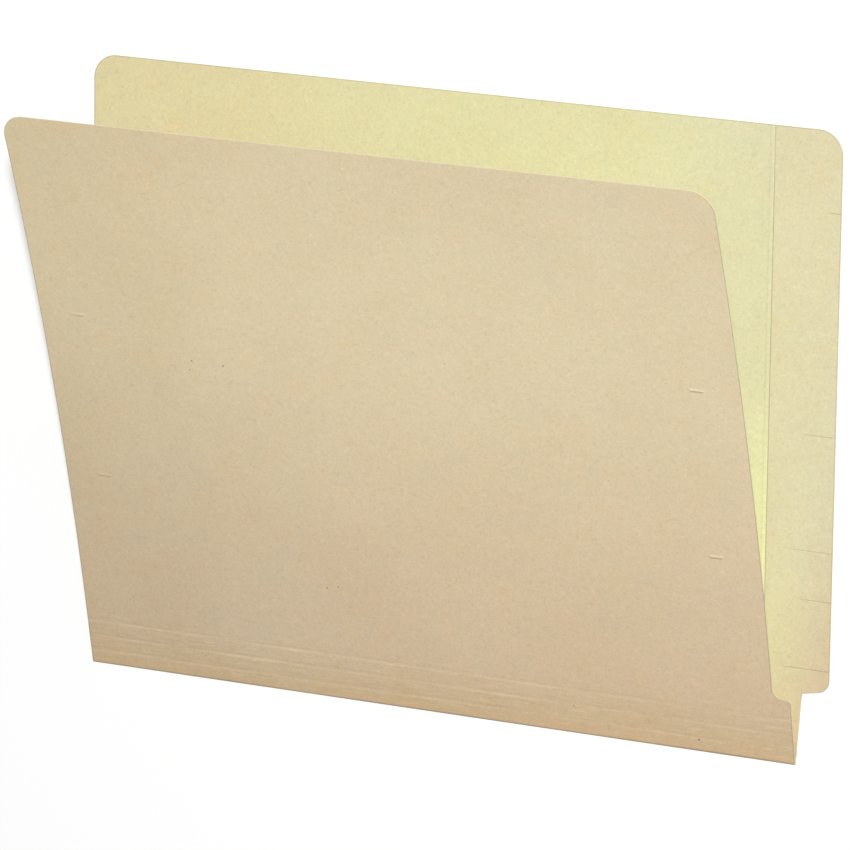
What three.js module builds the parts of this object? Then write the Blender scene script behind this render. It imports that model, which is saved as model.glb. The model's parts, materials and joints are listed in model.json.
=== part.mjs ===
// End-tab file folder of letter size, cut from manila board, lying on its back leaf with the cover raised.
// Millimetres. X runs along the fold, Y from the fold to the free edges, and Z up from the underside.
// The frame's origin is under the middle of the outline.
import * as THREE from "three";

// Board
const boardThickness = 0.28;
const plyThickness = 0.28;

// Fold and creases
const foldLength = 298.45;
const closedGap = 0.45; // between the leaves' inner faces when the folder is shut
const creaseGap = 0.3; // left open along every crease
const beadSides = 24;

// Back leaf, measured from the fold's outer edge
const leafDepth = 241.3;
const leafCorner = 9.5;
const tabProjection = 12.7; // beyond the end of the fold
const tabFoot = 27.3;
const tabFootRise = 1.9;
const tabFootCorner = 4;
const notchFlareWidth = 1.8;
const notchFillet = 0.8;

// Reinforcing ply on the tab's inner face
const plyWidth = 27;
const plyFoot = 2.5;

// Expansion scores in the cover, the first measured from the fold's axis
const firstStripWidth = 5.7;
const scorePitch = 6.35;
const scoreCount = 3;

// Front cover
const coverDepth = 241.3;
const coverCorner = 9.5;
const coverInset = 7.1; // of the long end edge from the end of the fold
const coverStep = 26.4;
const coverStepRise = 0.7;
const coverStepCorner = 1.6;
const coverStepFillet = 3.2;
const coverLean = THREE.MathUtils.degToRad(13);
const coverCurl = THREE.MathUtils.degToRad(9.7); // from the last score to the free edge
const curlSteps = 24;
const arcSteps = 6;

// Places that follow from these sizes
const foldRadius = boardThickness + closedGap / 2;
const axisHeight = foldRadius;
const leafLength = foldLength + tabProjection;
const creaseStart = Math.sqrt((foldRadius + creaseGap) ** 2 - (closedGap / 2) ** 2);
const leafEnd = leafDepth - foldRadius;
const coverEnd = coverDepth - foldRadius;
const lastScore = firstStripWidth + (scoreCount - 1) * scorePitch;

// Colours from the photograph
const outsideManila = new THREE.MeshStandardMaterial({ color: 0xdbc8a3, roughness: 0.85, metalness: 0 });
const insideManila = new THREE.MeshStandardMaterial({ color: 0xe6e0b2, roughness: 0.85, metalness: 0 });

// Adds a round corner to a path: an arc that touches the two straight runs which meet at the corner.
function addCorner(path, before, corner, after, radius) {
  const back = before.clone().sub(corner).normalize();
  const on = after.clone().sub(corner).normalize();
  const half = Math.acos(back.dot(on)) / 2;
  const centre = corner.clone().addScaledVector(back.clone().add(on).normalize(), radius / Math.sin(half));
  const from = corner.clone().addScaledVector(back, radius / Math.tan(half)).sub(centre);
  const to = corner.clone().addScaledVector(on, radius / Math.tan(half)).sub(centre);
  path.absarc(centre.x, centre.y, radius, from.angle(), to.angle(), back.cross(on) > 0);
}

// A closed outline through corners given as [x, y, radius], anticlockwise. A radius of 0 is a sharp corner.
function roundedOutline(corners) {
  const shape = new THREE.Shape();
  const points = corners.map(([x, y]) => new THREE.Vector2(x, y));
  points.forEach((corner, i) => {
    const before = points.at(i - 1);
    const after = points[(i + 1) % points.length];
    const radius = corners[i][2];
    if (radius > 0) addCorner(shape, before, corner, after, radius);
    else if (i === 0) shape.moveTo(corner.x, corner.y);
    else shape.lineTo(corner.x, corner.y);
  });
  shape.closePath();
  return shape;
}

function named(name, geometry, material) {
  const mesh = new THREE.Mesh(geometry, material);
  mesh.name = name;
  return mesh;
}

// The tab end that the back leaf and its reinforcing ply share, from the notch to the free edge's corner.
function tabEnd(start) {
  const notchAt = (y) => foldLength + (notchFlareWidth * y) / tabFoot;
  return [
    [notchAt(start), start, 0],
    [notchAt(tabFoot), tabFoot, notchFillet],
    [leafLength, tabFoot + tabFootRise, tabFootCorner],
    [leafLength, leafEnd, leafCorner],
  ];
}

function backLeaf() {
  const outline = roundedOutline([[0, creaseStart, 0], ...tabEnd(creaseStart), [0, leafEnd, leafCorner]]);
  const settings = { depth: boardThickness, bevelEnabled: false, curveSegments: arcSteps };
  return named("back_leaf", new THREE.ExtrudeGeometry(outline, settings), insideManila);
}

function tabReinforcement() {
  const inner = leafLength - plyWidth;
  const outline = roundedOutline([[inner, plyFoot, 0], ...tabEnd(plyFoot), [inner, leafEnd, 0]]);
  const settings = { depth: plyThickness, bevelEnabled: false, curveSegments: arcSteps };
  const mesh = named("tab_reinforcement", new THREE.ExtrudeGeometry(outline, settings), insideManila);
  mesh.position.z = boardThickness;
  return mesh;
}

// The round bead that the folded board makes along the crease.
function foldSpine() {
  const bead = new THREE.CylinderGeometry(foldRadius, foldRadius, foldLength, beadSides);
  bead.rotateZ(Math.PI / 2);
  bead.translate(foldLength / 2, 0, 0);
  return named("fold_spine", bead, outsideManila);
}

// The flat strip between two neighbouring creases, the first of which is the fold.
function expansionStrip(number) {
  const score = firstStripWidth + (number - 1) * scorePitch;
  const start = number === 1 ? creaseStart : score - scorePitch + creaseGap / 2;
  const end = score - creaseGap / 2;
  const strip = new THREE.BoxGeometry(foldLength, end - start, boardThickness);
  const mesh = named("expansion_strip_" + number, strip, outsideManila);
  mesh.position.set(foldLength / 2, (start + end) / 2, (closedGap + boardThickness) / 2);
  return mesh;
}

// The place on the cover at a distance from the fold's axis and a height over the curve through that axis.
function onCover(x, distance, height) {
  const bent = distance - lastScore;
  const radius = (coverEnd - lastScore) / coverCurl;
  const turn = bent / radius;
  const y = lastScore + radius * Math.sin(turn) - height * Math.sin(turn);
  const z = radius * (1 - Math.cos(turn)) + height * Math.cos(turn);
  return new THREE.Vector3(x, y, z);
}

// The lowest and highest x where a line of constant y crosses an outline.
function spanAt(points, y) {
  const crossings = [];
  points.forEach((a, i) => {
    const b = points[(i + 1) % points.length];
    if (a.y === y) crossings.push(a.x);
    if ((a.y - y) * (b.y - y) < 0) crossings.push(a.x + ((b.x - a.x) * (y - a.y)) / (b.y - a.y));
  });
  return [Math.min(...crossings), Math.max(...crossings)];
}

function frontCover() {
  const start = lastScore + creaseGap / 2;
  const inner = foldLength - coverInset;
  const outline = roundedOutline([
    [0, start, 0],
    [foldLength, start, 0],
    [foldLength, coverStep, coverStepCorner],
    [inner, coverStep + coverStepRise, coverStepFillet],
    [inner, coverEnd, coverCorner],
    [0, coverEnd, coverCorner],
  ]).getPoints(arcSteps);
  const curlStations = [...Array(curlSteps).keys()].map((i) => start + ((coverEnd - start) * i) / curlSteps);
  const stations = [...new Set([...curlStations, ...outline.map((p) => p.y)])].sort((a, b) => a - b);
  const rows = stations.length - 1;
  const sheet = new THREE.BoxGeometry(1, 1, 1, 1, rows, 1);
  const places = sheet.getAttribute("position");
  const spans = stations.map((y) => spanAt(outline, y));
  for (let i = 0; i < places.count; i++) {
    const row = Math.round((places.getY(i) + 0.5) * rows);
    const x = spans[row][places.getX(i) > 0 ? 1 : 0];
    const height = closedGap / 2 + (places.getZ(i) > 0 ? boardThickness : 0);
    places.setXYZ(i, ...onCover(x, stations[row], height));
  }
  sheet.computeVertexNormals();
  return named("front_cover", sheet, outsideManila);
}

// Everything that turns about the fold's axis, raised by the cover's lean.
function coverSide() {
  const side = new THREE.Group();
  side.position.z = axisHeight;
  side.rotation.x = coverLean;
  side.add(foldSpine());
  for (let number = 1; number <= scoreCount; number++) side.add(expansionStrip(number));
  side.add(frontCover());
  return side;
}

const folder = new THREE.Group();
folder.add(backLeaf(), tabReinforcement(), coverSide());
folder.position.set(-leafLength / 2, foldRadius - leafDepth / 2, 0);

const part = new THREE.Group();
part.add(folder);

export default part;
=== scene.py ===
"""An end-tab file folder of manila board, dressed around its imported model.

Every sheet is cut flat, pressed, given its thickness, curled and then leaned about the fold, as the real
board is. Metres. The flat frame of a sheet has x along the fold from its left end, y away from the fold's
axis and z square to the sheet, with the axis at zero.
"""
import json
import math

import bmesh
import bpy
from bpy.props import FloatProperty, FloatVectorProperty, IntProperty, PointerProperty
from mathutils import Matrix, Vector


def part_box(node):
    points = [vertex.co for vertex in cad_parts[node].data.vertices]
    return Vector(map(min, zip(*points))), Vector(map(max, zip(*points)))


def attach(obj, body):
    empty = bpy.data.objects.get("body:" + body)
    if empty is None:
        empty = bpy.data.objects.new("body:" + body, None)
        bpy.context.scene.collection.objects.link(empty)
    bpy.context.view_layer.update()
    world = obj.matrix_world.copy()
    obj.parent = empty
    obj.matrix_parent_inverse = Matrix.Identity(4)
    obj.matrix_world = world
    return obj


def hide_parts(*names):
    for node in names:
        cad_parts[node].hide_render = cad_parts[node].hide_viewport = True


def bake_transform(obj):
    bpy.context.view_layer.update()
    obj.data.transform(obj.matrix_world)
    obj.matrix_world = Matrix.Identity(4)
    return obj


bl_info = {
    "name": "End-tab file folder",
    "version": (1, 0, 0),
    "blender": (4, 5, 0),
    "location": "3D View > Sidebar > Folder",
    "description": "Builds a manila end-tab file folder with scored bottom, reinforced tab and studio stage",
    "category": "Object",
}

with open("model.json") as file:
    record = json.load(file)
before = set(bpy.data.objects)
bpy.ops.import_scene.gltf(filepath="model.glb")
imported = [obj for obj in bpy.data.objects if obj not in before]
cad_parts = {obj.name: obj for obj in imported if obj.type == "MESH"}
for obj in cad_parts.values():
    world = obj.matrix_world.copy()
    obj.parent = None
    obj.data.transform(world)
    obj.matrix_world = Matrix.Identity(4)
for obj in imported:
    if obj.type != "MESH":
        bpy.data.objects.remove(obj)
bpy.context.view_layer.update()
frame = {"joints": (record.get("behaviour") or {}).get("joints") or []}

MM = 0.001

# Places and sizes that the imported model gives
OPENING, EXPANSION = frame["joints"]
LEAF_LOW, LEAF_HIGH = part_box("back_leaf")
PLY_LOW, PLY_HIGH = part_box("tab_reinforcement")
SPINE_LOW, SPINE_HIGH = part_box("fold_spine")
BOARD = LEAF_HIGH.z - LEAF_LOW.z
PLY = PLY_HIGH.z - PLY_LOW.z
FOLD_RADIUS = (SPINE_HIGH.z - SPINE_LOW.z) / 2
INNER_RADIUS = FOLD_RADIUS - BOARD
FOLD_LENGTH = SPINE_HIGH.x - SPINE_LOW.x
FOLD_START = Vector((SPINE_LOW.x, OPENING["pos_m"][1], OPENING["pos_m"][2]))
LEAF_LENGTH = LEAF_HIGH.x - FOLD_START.x
SHEET_END = LEAF_HIGH.y - FOLD_START.y
PLY_START = PLY_LOW.x - FOLD_START.x
PLY_FOOT = PLY_LOW.y - FOLD_START.y
LEAN = -math.radians(OPENING["range_deg"][0])
LAST_SCORE = -EXPANSION["range_m"][0] / math.sqrt(2)
STRIP_COUNT = 3

# Limits that the shaping keeps to
SPARE = 3 * MM  # board past a cut line, trimmed off once the edges are rounded
TOUCH = 0.01 * MM  # corners closer than this to a place are at it
WELD = 0.001 * MM  # points closer than this to a cut are on it
FLAT_WITHIN = math.radians(0.2)
SMOOTH_WITHIN = math.radians(40)
CUT_EDGE_FROM = math.radians(50)
GUARD = 1.3  # reaches from a pressed line at which the sheet is cut once more, to stay flat beyond


class FolderSizes(bpy.types.PropertyGroup):
    """Sizes of the die-cut outline, the pressed lines and the cut edges."""

    corner_radius: FloatProperty(
        name="Corner radius", description="Round corners at the free edges",
        default=9.5 * MM, unit="LENGTH",
    )
    tab_foot: FloatProperty(
        name="Tab foot", description="Height over the fold at which the tab starts",
        default=27.3 * MM, unit="LENGTH",
    )
    tab_foot_rise: FloatProperty(
        name="Tab foot rise", description="Slope of the tab's lower edge from the notch to its corner",
        default=1.9 * MM, unit="LENGTH",
    )
    tab_foot_corner: FloatProperty(
        name="Tab foot corner", description="Round corner under the tab",
        default=4 * MM, unit="LENGTH",
    )
    notch_flare: FloatProperty(
        name="Notch flare", description="How far the notch's edge leans out on its way up to the tab",
        default=1.8 * MM, unit="LENGTH",
    )
    notch_fillet: FloatProperty(
        name="Notch fillet", description="Fillet where the notch meets the tab",
        default=0.8 * MM, unit="LENGTH",
    )
    cover_inset: FloatProperty(
        name="Cover inset", description="The cover's end edge from the end of the fold",
        default=7.1 * MM, unit="LENGTH",
    )
    cover_step: FloatProperty(
        name="Cover step", description="Height over the fold of the step in the cover's end",
        default=26.4 * MM, unit="LENGTH",
    )
    cover_step_rise: FloatProperty(
        name="Cover step rise", description="Slope of the step",
        default=0.7 * MM, unit="LENGTH",
    )
    cover_step_corner: FloatProperty(
        name="Step corner", description="Round outer corner of the step",
        default=1.6 * MM, unit="LENGTH",
    )
    cover_step_fillet: FloatProperty(
        name="Step fillet", description="Fillet at the inner corner of the step",
        default=3.2 * MM, unit="LENGTH",
    )
    cover_curl: FloatProperty(
        name="Cover curl", description="Turn of the cover from the last score to its free edge",
        default=math.radians(9.7), subtype="ANGLE",
    )
    score_pitch: FloatProperty(
        name="Score pitch", description="Distance from one expansion score to the next",
        default=6.35 * MM, unit="LENGTH",
    )
    score_reach: FloatProperty(
        name="Score half width", description="Reach of a pressed score to each side of its bottom",
        default=1.1 * MM, unit="LENGTH",
    )
    score_depth: FloatProperty(
        name="Score depth", description="Depth of a pressed score",
        default=0.1 * MM, unit="LENGTH",
    )
    # The line along the fold is darkened as painted shadow under the fold
    fold_shadow_width: FloatProperty(
        name="Fold shadow", description="Width of the dark line painted along the fold as its shadow",
        default=0.6 * MM, unit="LENGTH",
    )
    mark_reach: FloatProperty(
        name="Tab mark half width", description="Reach of a hairline pressed across the tab",
        default=0.35 * MM, unit="LENGTH",
    )
    mark_depth: FloatProperty(
        name="Tab mark depth", description="Depth of a hairline pressed across the tab",
        default=0.13 * MM, unit="LENGTH",
    )
    slit_length: FloatProperty(
        name="Slit length", description="Length of a fastener slit in the cover",
        default=6.6 * MM, unit="LENGTH",
    )
    slit_lift: FloatProperty(
        name="Slit lift", description="How far the lip of a fastener slit stands up",
        default=0.26 * MM, unit="LENGTH",
    )
    slit_reach: FloatProperty(
        name="Slit lip width", description="Width of the raised lip beside a fastener slit",
        default=0.9 * MM, unit="LENGTH",
    )
    slit_drop: FloatProperty(
        name="Slit drop width", description="Width in which the lip drops back to the sheet at the cut",
        default=0.55 * MM, unit="LENGTH",
    )
    slit_fade: FloatProperty(
        name="Slit end", description="Length over which the lip falls off at each end of a slit",
        default=1.2 * MM, unit="LENGTH",
    )
    ridge_width: FloatProperty(
        name="Ridge width", description="Gentle side of the ridge that the ply's edge raises in the board",
        default=1.5 * MM, unit="LENGTH",
    )
    ridge_steep: FloatProperty(
        name="Ridge steep side", description="Steep side of that ridge",
        default=0.5 * MM, unit="LENGTH",
    )
    ridge_height: FloatProperty(
        name="Ridge height", description="Height of that ridge",
        default=0.09 * MM, unit="LENGTH",
    )
    # The rim is where the cut edge's painted shade fades into the face
    rim: FloatProperty(
        name="Rim of painted shade", description="Width of the rim along a cut edge where shade is painted",
        default=0.5 * MM, unit="LENGTH",
    )
    edge_round: FloatProperty(
        name="Cut edge rounding", description="Rounding that the die leaves on a cut edge",
        default=0.06 * MM, unit="LENGTH",
    )
    curl_rows: IntProperty(
        name="Curl rows", description="Rows of faces along the curled cover",
        default=36, min=8,
    )


class FolderColours(bpy.types.PropertyGroup):
    """Colours of the board."""

    outside: FloatVectorProperty(
        name="Outside", description="Tan outer face of the board",
        subtype="COLOR", default=(0.695, 0.591, 0.39),
    )
    inside: FloatVectorProperty(
        name="Inside", description="Pale yellow inner face of the board",
        subtype="COLOR", default=(0.602, 0.577, 0.337),
    )
    ply: FloatVectorProperty(
        name="Tab ply", description="Inner face of the ply on the tab",
        subtype="COLOR", default=(0.594, 0.548, 0.356),
    )
    cut_edge: FloatVectorProperty(
        name="Cut edge", description="Bare core at a cut edge",
        subtype="COLOR", default=(0.68, 0.61, 0.43),
    )
    fleck: FloatVectorProperty(
        name="Fleck", description="Bark fleck in the pulp",
        subtype="COLOR", default=(0.16, 0.08, 0.05),
    )


# Selecting and shaping


def only(piece):
    """Leaves this piece alone selected and active."""
    for other in bpy.context.selected_objects:
        other.select_set(False)
    piece.select_set(True)
    bpy.context.view_layer.objects.active = piece


def select_where(piece, test, kind="VERT"):
    """In edit mode, selects the vertices, or the edges, whose every end passes the test on its place."""
    bpy.ops.mesh.select_mode(type=kind)
    bpy.ops.mesh.select_all(action="DESELECT")
    mesh = bmesh.from_edit_mesh(piece.data)
    if kind == "EDGE":
        for edge in mesh.edges:
            edge.select_set(all(test(end.co) for end in edge.verts))
    else:
        for vertex in mesh.verts:
            vertex.select_set(test(vertex.co))
    bmesh.update_edit_mesh(piece.data)


def select_faces():
    """In edit mode, selects the whole mesh."""
    bpy.ops.mesh.select_mode(type="FACE")
    bpy.ops.mesh.select_all(action="SELECT")


def near(point):
    """A test that only places at this point of the sheet pass."""
    return lambda co: abs(co.x - point[0]) < TOUCH and abs(co.y - point[1]) < TOUCH


def plate(name, low, high, z):
    """A flat sheet between two corners, in edit mode."""
    middle = ((low[0] + high[0]) / 2, (low[1] + high[1]) / 2, z)
    bpy.ops.mesh.primitive_plane_add(size=1, location=middle)
    piece = bpy.context.object
    piece.name = name
    piece.scale = (high[0] - low[0], high[1] - low[1], 1)
    only(piece)
    bpy.ops.object.transform_apply(location=True, rotation=True, scale=True)
    bpy.ops.object.mode_set(mode="EDIT")
    return piece


def cut(point, direction, **settings):
    """In edit mode, cuts the whole mesh along a plane."""
    select_faces()
    bpy.ops.mesh.bisect(plane_co=point, plane_no=direction, threshold=WELD, **settings)


def cut_across(places, direction):
    """In edit mode, cuts the whole sheet along lines at the given places, square to a direction."""
    for place in places:
        cut(Vector(direction) * place, direction)


def trim(piece, *planes):
    """Takes away what lies past each plane, a point and a direction, and closes the cuts."""
    only(piece)
    bpy.ops.object.mode_set(mode="EDIT")
    for point, direction in planes:
        cut(point, direction, clear_outer=True, use_fill=True)
    bpy.ops.object.mode_set(mode="OBJECT")


def move_corner(piece, point, by):
    """In edit mode, moves the outline's corner at a point."""
    select_where(piece, near(point))
    bpy.ops.transform.translate(value=by)


def round_corner(piece, point, reach, segments):
    """In edit mode, rounds one corner of the outline, starting at a distance from the corner."""
    select_where(piece, near(point))
    bpy.ops.mesh.bevel(offset=reach, offset_pct=0, segments=segments, profile=0.5, affect="VERTICES")


def one_face():
    """In edit mode, dissolves what lies inside the outline, and the points on its straight runs."""
    select_faces()
    bpy.ops.mesh.dissolve_limited(angle_limit=FLAT_WITHIN)


def add_rim():
    """In edit mode, parts the narrow rim along the outline from the face inside it."""
    select_faces()
    bpy.ops.mesh.inset(thickness=bpy.context.scene.folder_sizes.rim, use_even_offset=True)


def finish_piece(piece, lean):
    """Leans the sheet about the fold, puts it in its place and leaves its object at the origin."""
    only(piece)
    piece.matrix_world = Matrix.Translation(FOLD_START) @ Matrix.Rotation(lean, 4, "X")
    bpy.ops.object.transform_apply(location=True, rotation=True, scale=True)
    bpy.ops.object.shade_smooth_by_angle(angle=SMOOTH_WITHIN)


def apply_modifiers(piece):
    """Makes what the modifiers do a part of the mesh."""
    only(piece)
    for modifier in list(piece.modifiers):
        bpy.ops.object.modifier_apply(modifier=modifier.name)


def thicken(piece, thickness):
    """Gives the sheet its thickness below its upper face and rounds its cut edges."""
    solid = piece.modifiers.new("Board", "SOLIDIFY")
    solid.thickness = thickness
    solid.offset = -1
    solid.material_offset = 1
    solid.material_offset_rim = 2
    edges = piece.modifiers.new("Cut edges", "BEVEL")
    edges.width = bpy.context.scene.folder_sizes.edge_round
    edges.segments = 2
    edges.limit_method = "ANGLE"
    edges.angle_limit = CUT_EDGE_FROM
    apply_modifiers(piece)


def copy_of(piece, name):
    """A copy with a mesh of its own."""
    made = piece.copy()
    made.data = piece.data.copy()
    made.name = name
    bpy.context.scene.collection.objects.link(made)
    return made


def dress(piece, *materials):
    """Gives the sheet its upper face's, lower face's and cut edge's materials."""
    for material in materials:
        piece.data.materials.append(material)


# Places of the cuts


def spread(start, end, steps):
    """Places that part a run into equal steps, without its two ends."""
    return [start + (end - start) * i / steps for i in range(1, steps)]


def steps_from(start, reach, steps, beyond=1):
    """Places from a start over a reach in equal steps, with some more beyond it."""
    return [start + reach * i / steps for i in range(steps + beyond + 1)]


def lines_beside(middle, reach, steps):
    """Places across the width of a pressed line, with one more outside each side.

    An odd number of steps leaves the middle itself free, where the sheet is parted later.
    """
    inside = [middle + reach * (2 * i / steps - 1) for i in range(steps + 1)]
    return [middle - GUARD * reach, *inside, middle + GUARD * reach]


# Pressed lines


def swell(distance, reach):
    """1 on a pressed line, falling off smoothly to 0 at its reach."""
    if abs(distance) >= reach:
        return 0
    return (1 + math.cos(math.pi * distance / reach)) / 2


def plateau(distance, half, fade):
    """1 between two ends, falling off smoothly to 0 at each end."""
    return swell(max(0, abs(distance) - (half - fade)), fade)


def press(sheet, depth_at, tint_at):
    """Lowers each point of a flat sheet by the depth there, and notes its tint.

    A tint above 0 darkens the sheet, along a hairline or as painted shadow below a slit's lip, and one below
    0 lightens it as a painted highlight on a score's flank.
    """
    tint = sheet.data.attributes.new("pressed", "FLOAT", "POINT").data
    for vertex in sheet.data.vertices:
        x, y, z = vertex.co
        tint[vertex.index].value = tint_at(x, y)
        vertex.co.z = z - depth_at(x, y)


def paint_rim_shade(sheet, right, left, far):
    """Notes how much shade is painted on the rim, from the shares of its right, left and far sides."""
    painted_shade = sheet.data.attributes.new("painted_shade", "FLOAT", "POINT").data
    shape = bmesh.new()
    shape.from_mesh(sheet.data)
    for vertex in shape.verts:
        if not vertex.is_boundary:
            continue
        out = Vector()
        for edge in vertex.link_edges:
            if not edge.is_boundary:
                out += (vertex.co - edge.other_vert(vertex).co).normalized()
        out.normalize()
        painted_shade[vertex.index].value = max(right * out.x, left * -out.x, far * out.y, 0)
    shape.free()


def waver(x, phase):
    """From 0.1 to 1 along a line, as a pressed line comes and goes, by two long and two short waves."""
    slow = math.sin(x / (31 * MM) + phase) * math.sin(x / (11 * MM) + 1.7 * phase)
    quick = math.sin(x / (4.1 * MM) + 2.3 * phase) * math.sin(x / (2.7 * MM) + phase)
    return 0.55 + 0.28 * slow + 0.17 * quick


def score_share(x, score):
    """How clearly a score is pressed at a place along it, from 0 to 1: less towards the tab."""
    return (0.95 - 0.5 * (x / FOLD_LENGTH) ** 2) * waver(x, score / MM)


def fold_shadow_at(x):
    """How much shadow is painted on the fold at a place along it, from 0 to 1: more towards the tab."""
    return (0.3 + 0.35 * x / FOLD_LENGTH) * (0.4 + waver(x, 5))


# Materials


# Patterns in the board: size, detail and roughness
CLOUD = (40 * MM, 2, 0.5)
HUE = (9 * MM, 3, 0.55)
PULP = (2.2 * MM, 3, 0.65)
FIBRE = (0.85 * MM, 2, 0.6)
STREAK = (0.9 * MM, 4, 0.65)
LAYERS = (0.35 * MM, 2, 0.6)
NICKS = (2.2 * MM, 2, 0.6)

# The streaks are drawn out along the fold, reach past the last score up to an end, and fade out before it
STREAK_STRETCH = 12
STREAKS_END = FOLD_START.y + LAST_SCORE + 6 * MM
STREAKS_FADE = 8 * MM

# Tints by a pattern or a mark: where it starts and is full, and there how light and how warm
CLOUD_TINTS = ((0.35, 0.65, 0.97, 0.01),)
HUE_TINTS = ((0.47, 0.78, 0.98, 0.035), (0.5, 0.25, 0.99, -0.02))
PULP_TINTS = ((0.5, 0.8, 1.07, 0), (0.5, 0.2, 0.92, 0.01))
FIBRE_TINTS = ((0.5, 0.2, 0.88, 0), (0.5, 0.8, 1.08, 0))
STREAK_TINTS = ((0.52, 0.75, 1.16, 0), (0.48, 0.25, 0.9, 0.03))
# The marks' tints: darker along a hairline, painted shadow below a slit's lip, and a painted highlight on a
# score's flank
MARK_DARKENING_AND_HIGHLIGHT_TINTS = ((0, 1, 0.76, 0.03), (0, -1, 1.11, -0.005))
LAYER_TINTS = ((0.5, 0.3, 0.88, 0.02),)
NICK_TINTS = ((0.55, 0.75, 0.85, 0.03),)
RIM_AND_FOLD_SHADE = (0.45, 0.46, 0.47)  # factors on the colour where the shade painted on a rim or along the fold is fullest

# How each face is toned across it, partly as painted light and shade: direction, start, end, and the factors
# at the end
OUTSIDE_TONES_AND_SHADE = (
    # Painted shade, where the light falls off: darker towards the fold, and towards the lower left
    ((0, -1, 0), -60 * MM, 125 * MM, (0.82, 0.745, 0.745)),
    ((-1, -0.7, 0), 0, 175 * MM, (0.895, 0.92, 0.95)),
    ((-1, 0.3, 0), 30 * MM, 150 * MM, (0.955, 0.93, 0.9)),
    ((0, -1, 0), 96 * MM, 118 * MM, (0.97, 0.95, 0.88)),
    ((0, -1, 0), 115 * MM, 118.5 * MM, (1.02, 0.99, 0.965)),
    ((0.12, -1, 0), 95 * MM, 120 * MM, (0.97, 0.966, 0.964)),
)
INSIDE_TONES_AND_LIGHT = (
    ((-1, 0.2, 0), 20 * MM, 150 * MM, (0.985, 0.915, 0.925)),
    # Painted light, where the cover shades the leaf: lighter near the fold
    ((0.2, -1, 0), -20 * MM, 75 * MM, (1.17, 1.22, 1.02)),
    ((1, 0, 0), 60 * MM, 120 * MM, (0.975, 0.98, 1.07)),
)
PLY_TONES = (
    ((0.3, -1, 0), 60 * MM, 130 * MM, (1.055, 1.071, 0.979)),
    ((2.5, -1, 0), 140 * MM, 200 * MM, (0.871, 0.655, 0.736)),
)

# Bark in the pulp: fine flecks all over, and larger specks on the cover
FLECK_SPACING = 19 * MM
FLECK_RADII = (0.02, 0.008)  # where a fleck starts and is full, in spacings
FLECK_STRENGTH = 0.4
SPECK_CORE = 0.4  # where a speck is full, in its radii
SPECK_STRENGTH = 0.75

# Place and radius of each speck
COVER_SPECKS = (
    (-92.7 * MM, 14.5 * MM, 0.45 * MM),
    (-94.1 * MM, 10.6 * MM, 0.35 * MM),
    (-79.4 * MM, 14 * MM, 0.5 * MM),
    (53 * MM, -109.3 * MM, 0.4 * MM),
    (104.1 * MM, -115.9 * MM, 0.55 * MM),
    (-47.7 * MM, -74.5 * MM, 0.45 * MM),
    (-42.9 * MM, -73.4 * MM, 0.4 * MM),
)


def add(tree, kind, inputs, **settings):
    """A node with its settings. Each input takes a value, or the output that feeds it."""
    node = tree.nodes.new(kind)
    for key, value in settings.items():
        setattr(node, key, value)
    for key, source in inputs.items():
        if isinstance(source, bpy.types.NodeSocket):
            tree.links.new(source, node.inputs[key])
        else:
            node.inputs[key].default_value = source
    return node


def noise(tree, places, size, detail, roughness, seed):
    """A noise whose blots are about this size, in metres."""
    inputs = {"Vector": places, "W": seed, "Scale": 1 / size, "Detail": detail, "Roughness": roughness}
    return add(tree, "ShaderNodeTexNoise", inputs, noise_dimensions="4D").outputs["Fac"]


def between(tree, value, low, high):
    """A value spread so that low gives 0 and high gives 1."""
    inputs = {"Value": value, "From Min": low, "From Max": high}
    node = add(tree, "ShaderNodeMapRange", inputs, clamp=True, interpolation_type="SMOOTHSTEP")
    return node.outputs["Result"]


def combined(tree, operation, value, other):
    """The result of a sum or a product of two values."""
    return add(tree, "ShaderNodeMath", {0: value, 1: other}, operation=operation).outputs[0]


def mixed(tree, colour, other, share, blend="MIX"):
    """Mixes a colour towards another, or towards their product, by a share."""
    inputs = {"Factor": share, 6: colour, 7: (*other, 1)}
    return add(tree, "ShaderNodeMix", inputs, data_type="RGBA", blend_type=blend).outputs[2]


def tinted(tree, colour, pattern, tints, where=None):
    """Makes a colour lighter or darker, and warmer or cooler, by a pattern and where a share allows it."""
    for start, full, shade, warmth in tints:
        share = between(tree, pattern, start, full)
        if where:
            share = combined(tree, "MULTIPLY", where, share)
        factors = (shade * (1 + warmth), shade, shade * (1 - warmth))
        colour = mixed(tree, colour, factors, share, "MULTIPLY")
    return colour


def along_sheet(tree, places, along, start, end):
    """A share that grows from one distance along a direction to another."""
    inputs = {0: places, 1: Vector(along).normalized()}
    reach = add(tree, "ShaderNodeVectorMath", inputs, operation="DOT_PRODUCT")
    return between(tree, reach.outputs["Value"], start, end)


def speck(tree, colour, places, target, x, y, radius):
    """Darkens a round speck of bark at one place of the sheet."""
    inputs = {0: places, 1: (1, 1, 0), 2: (-x, -y, 0)}
    away = add(tree, "ShaderNodeVectorMath", inputs, operation="MULTIPLY_ADD")
    length = add(tree, "ShaderNodeVectorMath", {0: away.outputs["Vector"]}, operation="LENGTH")
    inside = between(tree, length.outputs["Value"], radius, SPECK_CORE * radius)
    return mixed(tree, colour, target, combined(tree, "MULTIPLY", inside, SPECK_STRENGTH))


def mark_of(tree, attribute):
    """A share that the sheet itself carries."""
    return add(tree, "ShaderNodeAttribute", {}, attribute_name=attribute).outputs["Fac"]


def drawn_out(tree, places, stretch):
    """Places squeezed along the fold, so that a pattern on them is drawn out along it."""
    inputs = {0: places, 1: (1 / stretch, 1, 1)}
    return add(tree, "ShaderNodeVectorMath", inputs, operation="MULTIPLY").outputs["Vector"]


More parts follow.
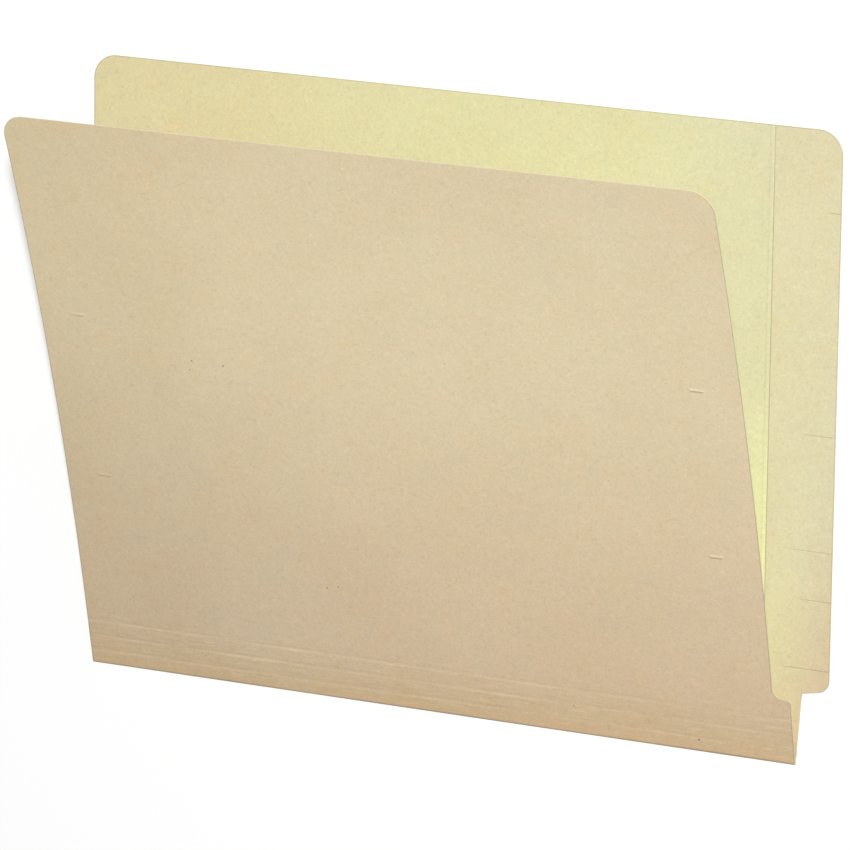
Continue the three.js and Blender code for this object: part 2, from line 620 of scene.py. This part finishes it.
def bumped(tree, height, distance, strength, under=None):
    """A bump of a height, on top of another bump if one is given."""
    inputs = {"Height": height, "Distance": distance, "Strength": strength}
    if under:
        inputs["Normal"] = under
    return add(tree, "ShaderNodeBump", inputs).outputs["Normal"]


def matte(name, roughness, specular):
    """A new matte material and its shader."""
    material = bpy.data.materials.new(name)
    material.use_nodes = True
    shader = material.node_tree.nodes["Principled BSDF"]
    shader.inputs["Roughness"].default_value = roughness
    shader.inputs["Specular IOR Level"].default_value = specular
    return material, shader


def board_material(name, colour, seed, tones, specks=()):
    """Uncoated manila board: cloudy pulp, fine fibres, rare bark flecks, a soft tooth, and painted light and
    shade on the rims, along the fold, by the marks and in some of the tones.
    """
    fleck = bpy.context.scene.folder_colours.fleck
    material, shader = matte(name, roughness=0.88, specular=0.25)
    tree = material.node_tree
    places = add(tree, "ShaderNodeTexCoord", {}).outputs["Object"]
    cloud = noise(tree, places, *CLOUD, seed)
    hue = noise(tree, places, *HUE, seed + 1)
    pulp = noise(tree, places, *PULP, seed + 2)
    fibre = noise(tree, places, *FIBRE, seed + 3)
    streak = noise(tree, drawn_out(tree, places, STREAK_STRETCH), *STREAK, seed + 4)
    by_fold = along_sheet(tree, places, (0, -1, 0), -STREAKS_END, STREAKS_FADE - STREAKS_END)

    result = tinted(tree, (*colour, 1), cloud, CLOUD_TINTS)
    # Tones across the face: on the outside some paint shade where the light falls off, on the inside one
    # paints light near the fold
    for along, start, end, factors in tones:
        result = mixed(tree, result, factors, along_sheet(tree, places, along, start, end), "MULTIPLY")
    result = tinted(tree, result, hue, HUE_TINTS)
    result = tinted(tree, result, pulp, PULP_TINTS)
    result = tinted(tree, result, fibre, FIBRE_TINTS)
    result = tinted(tree, result, streak, STREAK_TINTS, by_fold)
    # Darker along the hairlines, painted shadow below the slits' lips, and a painted highlight on the
    # scores' flanks that face the light
    result = tinted(tree, result, mark_of(tree, "pressed"), MARK_DARKENING_AND_HIGHLIGHT_TINTS)
    # Painted shade on the rims of the cut edges and along the fold
    result = mixed(tree, result, RIM_AND_FOLD_SHADE, mark_of(tree, "painted_shade"), "MULTIPLY")

    cells = add(tree, "ShaderNodeTexVoronoi", {"Vector": places, "Scale": 1 / FLECK_SPACING}, feature="F1")
    flecks = between(tree, cells.outputs["Distance"], *FLECK_RADII)
    result = mixed(tree, result, fleck, combined(tree, "MULTIPLY", flecks, FLECK_STRENGTH))
    for x, y, radius in specks:
        result = speck(tree, result, places, fleck, x, y, radius)
    tree.links.new(result, shader.inputs["Base Color"])

    warp = bumped(tree, cloud, distance=0.5 * MM, strength=0.5)
    tooth = bumped(tree, combined(tree, "ADD", pulp, fibre), distance=0.06 * MM, strength=0.4, under=warp)
    tree.links.new(tooth, shader.inputs["Normal"])
    return material


def edge_material(name, colour, seed):
    """The bare core at a cut edge, mottled by its layers of pulp and by small nicks."""
    material, shader = matte(name, roughness=0.95, specular=0.15)
    tree = material.node_tree
    places = add(tree, "ShaderNodeTexCoord", {}).outputs["Object"]
    layers = noise(tree, places, *LAYERS, seed)
    nicks = noise(tree, places, *NICKS, seed + 1)
    result = tinted(tree, (*colour, 1), layers, LAYER_TINTS)
    result = tinted(tree, result, nicks, NICK_TINTS)
    tree.links.new(result, shader.inputs["Base Color"])
    tree.links.new(bumped(tree, layers, distance=0.04 * MM, strength=0.5), shader.inputs["Normal"])
    return material


def materials():
    """The outer face, inner face and cut edge of the board, made once and shared by its sheets."""
    colours = bpy.context.scene.folder_colours
    made = bpy.data.materials
    outside = made.get("manila_outside_board") or board_material(
        "manila_outside_board", colours.outside, seed=3, tones=OUTSIDE_TONES_AND_SHADE, specks=COVER_SPECKS
    )
    inside = made.get("manila_inside_board") or board_material(
        "manila_inside_board", colours.inside, seed=17, tones=INSIDE_TONES_AND_LIGHT
    )
    edge = made.get("manila_cut_edge") or edge_material("manila_cut_edge", colours.cut_edge, seed=29)
    return outside, inside, edge


# Outlines


def tabbed_outline(name, z):
    """The back leaf's die-cut outline with the end tab, as one flat face in edit mode."""
    sizes = bpy.context.scene.folder_sizes
    foot, rise, flare = sizes.tab_foot, sizes.tab_foot_rise, sizes.notch_flare
    sheet = plate(name, (0, -SPARE), (FOLD_LENGTH, SHEET_END), z)
    cut_across([foot], (0, 1, 0))
    select_where(sheet, lambda co: co.x > FOLD_LENGTH - TOUCH and co.y > foot - TOUCH, "EDGE")
    reach = LEAF_LENGTH - FOLD_LENGTH
    bpy.ops.mesh.extrude_region_move(TRANSFORM_OT_translate={"value": (reach, 0, 0)})
    move_corner(sheet, (FOLD_LENGTH, foot), (flare, 0, 0))
    move_corner(sheet, (LEAF_LENGTH, foot), (0, rise, 0))
    move_corner(sheet, (FOLD_LENGTH, -SPARE), (-flare * SPARE / foot, 0, 0))
    one_face()
    for end in (0, LEAF_LENGTH):
        round_corner(sheet, (end, SHEET_END), sizes.corner_radius, segments=10)
    round_corner(sheet, (LEAF_LENGTH, foot + rise), sizes.tab_foot_corner, segments=8)
    round_corner(sheet, (FOLD_LENGTH + flare, foot), sizes.notch_fillet, segments=4)
    return sheet


def cover_outline(name, z):
    """The outline from the fold to the cover's free edge, as one flat face in edit mode."""
    sizes = bpy.context.scene.folder_sizes
    step, rise = sizes.cover_step, sizes.cover_step_rise
    inner = FOLD_LENGTH - sizes.cover_inset
    sheet = plate(name, (0, -SPARE), (inner, SHEET_END), z)
    cut_across([step], (0, 1, 0))
    select_where(sheet, lambda co: co.x > inner - TOUCH and co.y < step + TOUCH, "EDGE")
    bpy.ops.mesh.extrude_region_move(TRANSFORM_OT_translate={"value": (sizes.cover_inset, 0, 0)})
    move_corner(sheet, (inner, step), (0, rise, 0))
    one_face()
    for end in (0, inner):
        round_corner(sheet, (end, SHEET_END), sizes.corner_radius, segments=10)
    round_corner(sheet, (FOLD_LENGTH, step), sizes.cover_step_corner, segments=6)
    round_corner(sheet, (inner, step + rise), sizes.cover_step_fillet, segments=8)
    return sheet


# Pieces


class FOLDER_OT_back_leaf(bpy.types.Operator):
    """Cut the long leaf that carries the tab"""

    bl_idname = "folder.back_leaf"
    bl_label = "Back leaf"

    def execute(self, context):
        sizes = context.scene.folder_sizes
        outside, inside, edge = materials()
        leaf = tabbed_outline("leaf_board", -INNER_RADIUS)
        add_rim()
        top = PLY_START - sizes.ridge_width
        columns = spread(0, LEAF_LENGTH, steps=14)[:-1]  # the last would lie hidden under the ply
        columns += steps_from(top, sizes.ridge_width, steps=4)
        columns += steps_from(top, -sizes.ridge_steep, steps=3)[1:]
        cut_across(spread(0, SHEET_END, steps=12), (0, 1, 0))
        cut_across(columns, (1, 0, 0))
        bpy.ops.object.mode_set(mode="OBJECT")

        def ridge_at(x):
            """How far the board stands up beside the ply's edge, from 0 to 1: gentle towards the ply."""
            return swell(x - top, sizes.ridge_width if x > top else sizes.ridge_steep)

        press(leaf, lambda x, y: -sizes.ridge_height * ridge_at(x), lambda x, y: 0)
        # Painted shade on the leaf's rim
        paint_rim_shade(leaf, right=0.7, left=1, far=0.7)
        dress(leaf, inside, outside, edge)
        thicken(leaf, BOARD)
        trim(leaf, ((0, 0, 0), (0, -1, 0)))
        finish_piece(leaf, lean=0)
        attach(leaf, "back")
        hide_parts("back_leaf")
        return {"FINISHED"}


class FOLDER_OT_tab_ply(bpy.types.Operator):
    """Cut the ply that reinforces the tab and press the hairlines across it"""

    bl_idname = "folder.tab_ply"
    bl_label = "Tab ply"

    # Height over the fold and inner end of each hairline, with its share of the full depth
    hairlines = (
        (36.8 * MM, 290.5 * MM, 1.0),
        (63.3 * MM, 297 * MM, 0.9),
        (82 * MM, 292 * MM, 0.7),
        (126 * MM, 296 * MM, 0.8),
        (148.5 * MM, 304 * MM, 0.4),
        (174 * MM, 306 * MM, 0.4),
        (210 * MM, 304 * MM, 1.0),
    )
    fade = 4 * MM  # length over which a hairline deepens from its inner end

    def execute(self, context):
        sizes = context.scene.folder_sizes
        _, inside, edge = materials()
        ply = tabbed_outline("tab_ply", PLY - INNER_RADIUS)
        cut((PLY_START, 0, 0), (-1, 0, 0), clear_outer=True)
        cut((0, PLY_FOOT, 0), (0, -1, 0), clear_outer=True)
        add_rim()
        cut_across(spread(PLY_START, LEAF_LENGTH, steps=24), (1, 0, 0))
        for height, _, _ in self.hairlines:
            cut_across(lines_beside(height, sizes.mark_reach, steps=6), (0, 1, 0))
        bpy.ops.object.mode_set(mode="OBJECT")

        def hairline_at(x, y):
            """How far the nearest hairline is pressed at a place, from 0 to 1."""
            return max(
                share * min(1, max(0, (x - inner_end) / self.fade)) * swell(y - height, sizes.mark_reach)
                for height, inner_end, share in self.hairlines
            )

        press(ply, lambda x, y: sizes.mark_depth * hairline_at(x, y), hairline_at)
        # Painted shade on the ply's rim
        paint_rim_shade(ply, right=0.6, left=0.8, far=0.7)
        colour = context.scene.folder_colours.ply
        face = board_material("manila_ply_board", colour, seed=41, tones=PLY_TONES)
        dress(ply, face, inside, edge)
        thicken(ply, PLY)
        finish_piece(ply, lean=0)
        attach(ply, "back")
        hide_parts("tab_reinforcement")
        return {"FINISHED"}


class FOLDER_OT_fold(bpy.types.Operator):
    """Bend the board round the main fold"""

    bl_idname = "folder.fold"
    bl_label = "Fold"

    spare_turn = math.radians(20)  # bent past each side of the fold, and trimmed off

    def execute(self, context):
        outside, inside, edge = materials()
        fold = plate("fold_bend", (0, 0), (FOLD_LENGTH, SPARE), -FOLD_RADIUS)
        select_where(fold, lambda co: co.y > SPARE / 2)
        bpy.ops.mesh.delete(type="VERT")
        bpy.ops.mesh.select_all(action="SELECT")
        bpy.ops.mesh.subdivide(number_cuts=9)
        bpy.ops.mesh.select_all(action="SELECT")
        turn = math.pi - LEAN + 2 * self.spare_turn
        bpy.ops.mesh.spin(steps=48, angle=turn, center=(0, 0, 0), axis=(1, 0, 0))
        bpy.ops.object.mode_set(mode="OBJECT")
        fold.data.transform(Matrix.Rotation(self.spare_turn, 4, "X"))
        bpy.ops.object.mode_set(mode="EDIT")
        bpy.ops.mesh.select_all(action="SELECT")
        bpy.ops.mesh.remove_doubles(threshold=WELD)
        bpy.ops.mesh.normals_make_consistent(inside=False)
        bpy.ops.object.mode_set(mode="OBJECT")
        # The bend is darkened all over as painted shadow under the fold, more towards the tab
        painted_shade = fold.data.attributes.new("painted_shade", "FLOAT", "POINT").data
        for vertex in fold.data.vertices:
            painted_shade[vertex.index].value = fold_shadow_at(vertex.co.x)
        dress(fold, outside, inside, edge)
        thicken(fold, BOARD)
        trim(fold, ((0, 0, 0), (0, 1, 0)), ((0, 0, 0), (0, math.cos(LEAN), math.sin(LEAN))))
        finish_piece(fold, lean=0)
        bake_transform(fold)
        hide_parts("fold_spine")
        return {"FINISHED"}


class FOLDER_OT_cover_side(bpy.types.Operator):
    """Cut, score and curl the near leaf, and part it at the scores into the strips and the cover"""

    bl_idname = "folder.cover_side"
    bl_label = "Cover and strips"

    # Distance of the fastener slits from the fold, and of their middles from its left end with their share
    slit_rows = (83.7 * MM, 154.3 * MM)
    slit_columns = ((16.5 * MM, 0.6), (273.5 * MM, 1.0))
    highlight_shift = 0.6  # reaches of a score from its bottom to its flank that faces the fold and the light, where a highlight is painted

    def cut_grid(self, sizes, scores):
        """In edit mode, cuts the sheet along the rows and columns that its curl and its marks need."""
        rows = spread(LAST_SCORE, SHEET_END, sizes.curl_rows)
        for score in scores:
            rows += lines_beside(score, sizes.score_reach, steps=9)
        rows += steps_from(0, sizes.fold_shadow_width, steps=3, beyond=0)[1:]
        for row in self.slit_rows:
            rows += steps_from(row, sizes.slit_reach, steps=4)[1:]
            rows += steps_from(row, -sizes.slit_drop, steps=2, beyond=3)
        columns = spread(0, FOLD_LENGTH, steps=20)
        # Distances from a slit's middle: one past its end, its end, and those over which its lip rises
        ends = [sizes.slit_length / 2 - sizes.slit_fade * i / 3 for i in range(-1, 5)]
        for middle, _ in self.slit_columns:
            columns += [middle + side * end for side in (-1, 1) for end in ends]
        cut_across(rows, (0, 1, 0))
        cut_across(columns, (1, 0, 0))

    def press_marks(self, sheet, sizes, scores):
        """Presses the scores, lifts the lips of the slits, and notes where shadow and highlight are painted
        beside them.
        """

        def score_at(x, y, shift=0):
            """How far the nearest score, shifted towards the fold, is pressed at a place, from 0 to 1."""
            return max(
                score_share(x, score) * swell(y - score + shift, sizes.score_reach) for score in scores
            )

        def slit_at(x, y):
            """How far the lip of a slit stands up at a place, from 0 to 1: steep below, gentle above."""
            lifted = 0
            for row in self.slit_rows:
                reach = sizes.slit_reach if y > row else sizes.slit_drop
                for middle, share in self.slit_columns:
                    along = plateau(x - middle, sizes.slit_length / 2, sizes.slit_fade)
                    lifted = max(lifted, share * along * swell(y - row, reach))
            return lifted

        def depth_at(x, y):
            return sizes.score_depth * score_at(x, y) - sizes.slit_lift * slit_at(x, y)

        def tint_at(x, y):
            """Painted shadow below a slit's lip, and a painted highlight on the flank of a score that faces
            the fold and the light.
            """
            slit_shadow = slit_at(x, y + sizes.slit_drop) - slit_at(x, y)
            score_highlight = score_at(x, y, self.highlight_shift * sizes.score_reach)
            return max(slit_shadow, 0) or -score_highlight

        press(sheet, depth_at, tint_at)

    def paint_fold_shadow(self, sheet, sizes):
        """Notes the dark line painted along the fold as its shadow."""
        painted_shade = sheet.data.attributes["painted_shade"].data
        for vertex in sheet.data.vertices:
            if abs(vertex.co.y) < sizes.fold_shadow_width:
                painted_shade[vertex.index].value = fold_shadow_at(vertex.co.x) * swell(vertex.co.y, sizes.fold_shadow_width)

    def curl(self, sheet, turn):
        """Curls the sheet steadily from the last score to its free edge."""
        origin = bpy.data.objects.new("curl_origin", None)
        bpy.context.scene.collection.objects.link(origin)
        axes = Matrix(((-1, 0, 0), (0, 0, 1), (0, 1, 0))).to_4x4()
        origin.matrix_world = Matrix.Translation((0, LAST_SCORE, 0)) @ axes
        bpy.context.view_layer.update()
        bend = sheet.modifiers.new("Curl", "SIMPLE_DEFORM")
        bend.deform_method = "BEND"
        bend.deform_axis = "X"
        bend.origin = origin
        bend.angle = turn
        bend.limits = ((LAST_SCORE + SPARE) / (SHEET_END + SPARE), 1)
        apply_modifiers(sheet)
        bpy.data.objects.remove(origin)

    def part(self, sheet, scores):
        """Parts the sheet at the scores, and puts the strips and the cover in their places."""
        # Square to the slide, so that the outer face leads and stays outside when the strips stand up
        lines = [0, *scores, None]
        for number, (start, end) in enumerate(zip(lines, lines[1:]), 1):
            name = "cover_board" if end is None else f"strip_board_{number}"
            piece = copy_of(sheet, name)
            trim(piece, ((0, start, 0), (0, -1, 0)))
            if end is not None:
                trim(piece, ((0, end, 0), (0, 1, 0)))
            finish_piece(piece, LEAN)
            if end is None:
                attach(piece, "cover")
                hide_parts("front_cover")
            else:
                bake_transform(piece)
                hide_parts(f"expansion_strip_{number}")
        bpy.data.objects.remove(sheet)

    def execute(self, context):
        sizes = context.scene.folder_sizes
        outside, inside, edge = materials()
        scores = [LAST_SCORE - sizes.score_pitch * i for i in reversed(range(STRIP_COUNT))]
        sheet = cover_outline("cover_side", FOLD_RADIUS)
        add_rim()
        self.cut_grid(sizes, scores)
        bpy.ops.object.mode_set(mode="OBJECT")
        self.press_marks(sheet, sizes, scores)
        # Painted shade on the cover's rim: most on its right edge, which faces away from the light, least on
        # its far edge
        paint_rim_shade(sheet, right=0.8, left=0.5, far=0.1)
        self.paint_fold_shadow(sheet, sizes)
        dress(sheet, outside, inside, edge)
        thicken(sheet, BOARD)
        self.curl(sheet, sizes.cover_curl)
        self.part(sheet, scores)
        return {"FINISHED"}


class FOLDER_OT_stage(bpy.types.Operator):
    """Set up the pale floor, the soft light and the camera"""

    bl_idname = "folder.stage"
    bl_label = "Stage"

    camera_place = (1.1244, 0.6149, 2.3110)
    camera_forward = (-0.4291, -0.2354, -0.8720)
    camera_up = (-0.1149, 0.9718, -0.2057)
    camera_lens = 296.8
    floor_size = 8.0
    floor_colour = (0.84, 0.84, 0.84, 1)
    key_place = (2.8, 2.5, 5.8)
    key_size = 0.6
    key_power = 580
    sky_colour = (1, 1, 1, 1)
    sky_strength = 0.2

    def floor(self):
        """The pale floor that the folder lies on."""
        bpy.ops.mesh.primitive_plane_add(size=self.floor_size, location=(0, 0, 0))
        floor = bpy.context.object
        floor.name = "studio_floor"
        material, shader = matte("studio_paper", roughness=0.9, specular=0.1)
        shader.inputs["Base Color"].default_value = self.floor_colour
        floor.data.materials.append(material)

    def key_light(self):
        """A square light that faces the folder."""
        light = bpy.data.lights.new("key", "AREA")
        light.size = self.key_size
        light.energy = self.key_power
        lamp = bpy.data.objects.new("key", light)
        lamp.location = self.key_place
        lamp.rotation_euler = Vector(self.key_place).to_track_quat("Z", "Y").to_euler()
        bpy.context.scene.collection.objects.link(lamp)

    def sky(self):
        """An even light from all sides, which softens the shadows."""
        world = bpy.data.worlds.new("studio")
        world.use_nodes = True
        background = world.node_tree.nodes["Background"]
        background.inputs["Color"].default_value = self.sky_colour
        background.inputs["Strength"].default_value = self.sky_strength
        bpy.context.scene.world = world

    def camera(self):
        """The camera from which the photograph shows the folder."""
        forward = Vector(self.camera_forward).normalized()
        right = forward.cross(Vector(self.camera_up)).normalized()
        up = right.cross(forward)
        data = bpy.data.cameras.new("photo_camera")
        data.sensor_fit = "AUTO"
        data.sensor_width = 36
        data.lens = self.camera_lens
        data.clip_end = 50
        camera = bpy.data.objects.new("photo_camera", data)
        turn = Matrix((right, up, -forward)).transposed().to_4x4()
        camera.matrix_world = Matrix.Translation(self.camera_place) @ turn
        bpy.context.scene.collection.objects.link(camera)
        bpy.context.scene.camera = camera

    def execute(self, context):
        self.floor()
        self.key_light()
        self.sky()
        self.camera()
        context.scene.view_settings.view_transform = "Standard"
        context.scene.view_settings.look = "None"
        return {"FINISHED"}


class FOLDER_PT_panel(bpy.types.Panel):
    """Sizes, colours and build steps of the folder"""

    bl_idname = "FOLDER_PT_panel"
    bl_label = "End-tab folder"
    bl_space_type = "VIEW_3D"
    bl_region_type = "UI"
    bl_category = "Folder"

    def draw(self, context):
        layout = self.layout
        for group in (context.scene.folder_sizes, context.scene.folder_colours):
            column = layout.column()
            for name in group.__annotations__:
                column.prop(group, name)
        for operator in OPERATORS:
            layout.operator(operator.bl_idname)


OPERATORS = (
    FOLDER_OT_back_leaf,
    FOLDER_OT_tab_ply,
    FOLDER_OT_fold,
    FOLDER_OT_cover_side,
    FOLDER_OT_stage,
)
CLASSES = (FolderSizes, FolderColours, *OPERATORS, FOLDER_PT_panel)


def register():
    for cls in CLASSES:
        bpy.utils.register_class(cls)
    bpy.types.Scene.folder_sizes = PointerProperty(type=FolderSizes)
    bpy.types.Scene.folder_colours = PointerProperty(type=FolderColours)


def unregister():
    del bpy.types.Scene.folder_colours
    del bpy.types.Scene.folder_sizes
    for cls in reversed(CLASSES):
        bpy.utils.unregister_class(cls)


def main():
    register()
    bpy.ops.folder.back_leaf()
    bpy.ops.folder.tab_ply()
    bpy.ops.folder.fold()
    bpy.ops.folder.cover_side()
    bpy.ops.folder.stage()


if __name__ == "__main__":
    main()
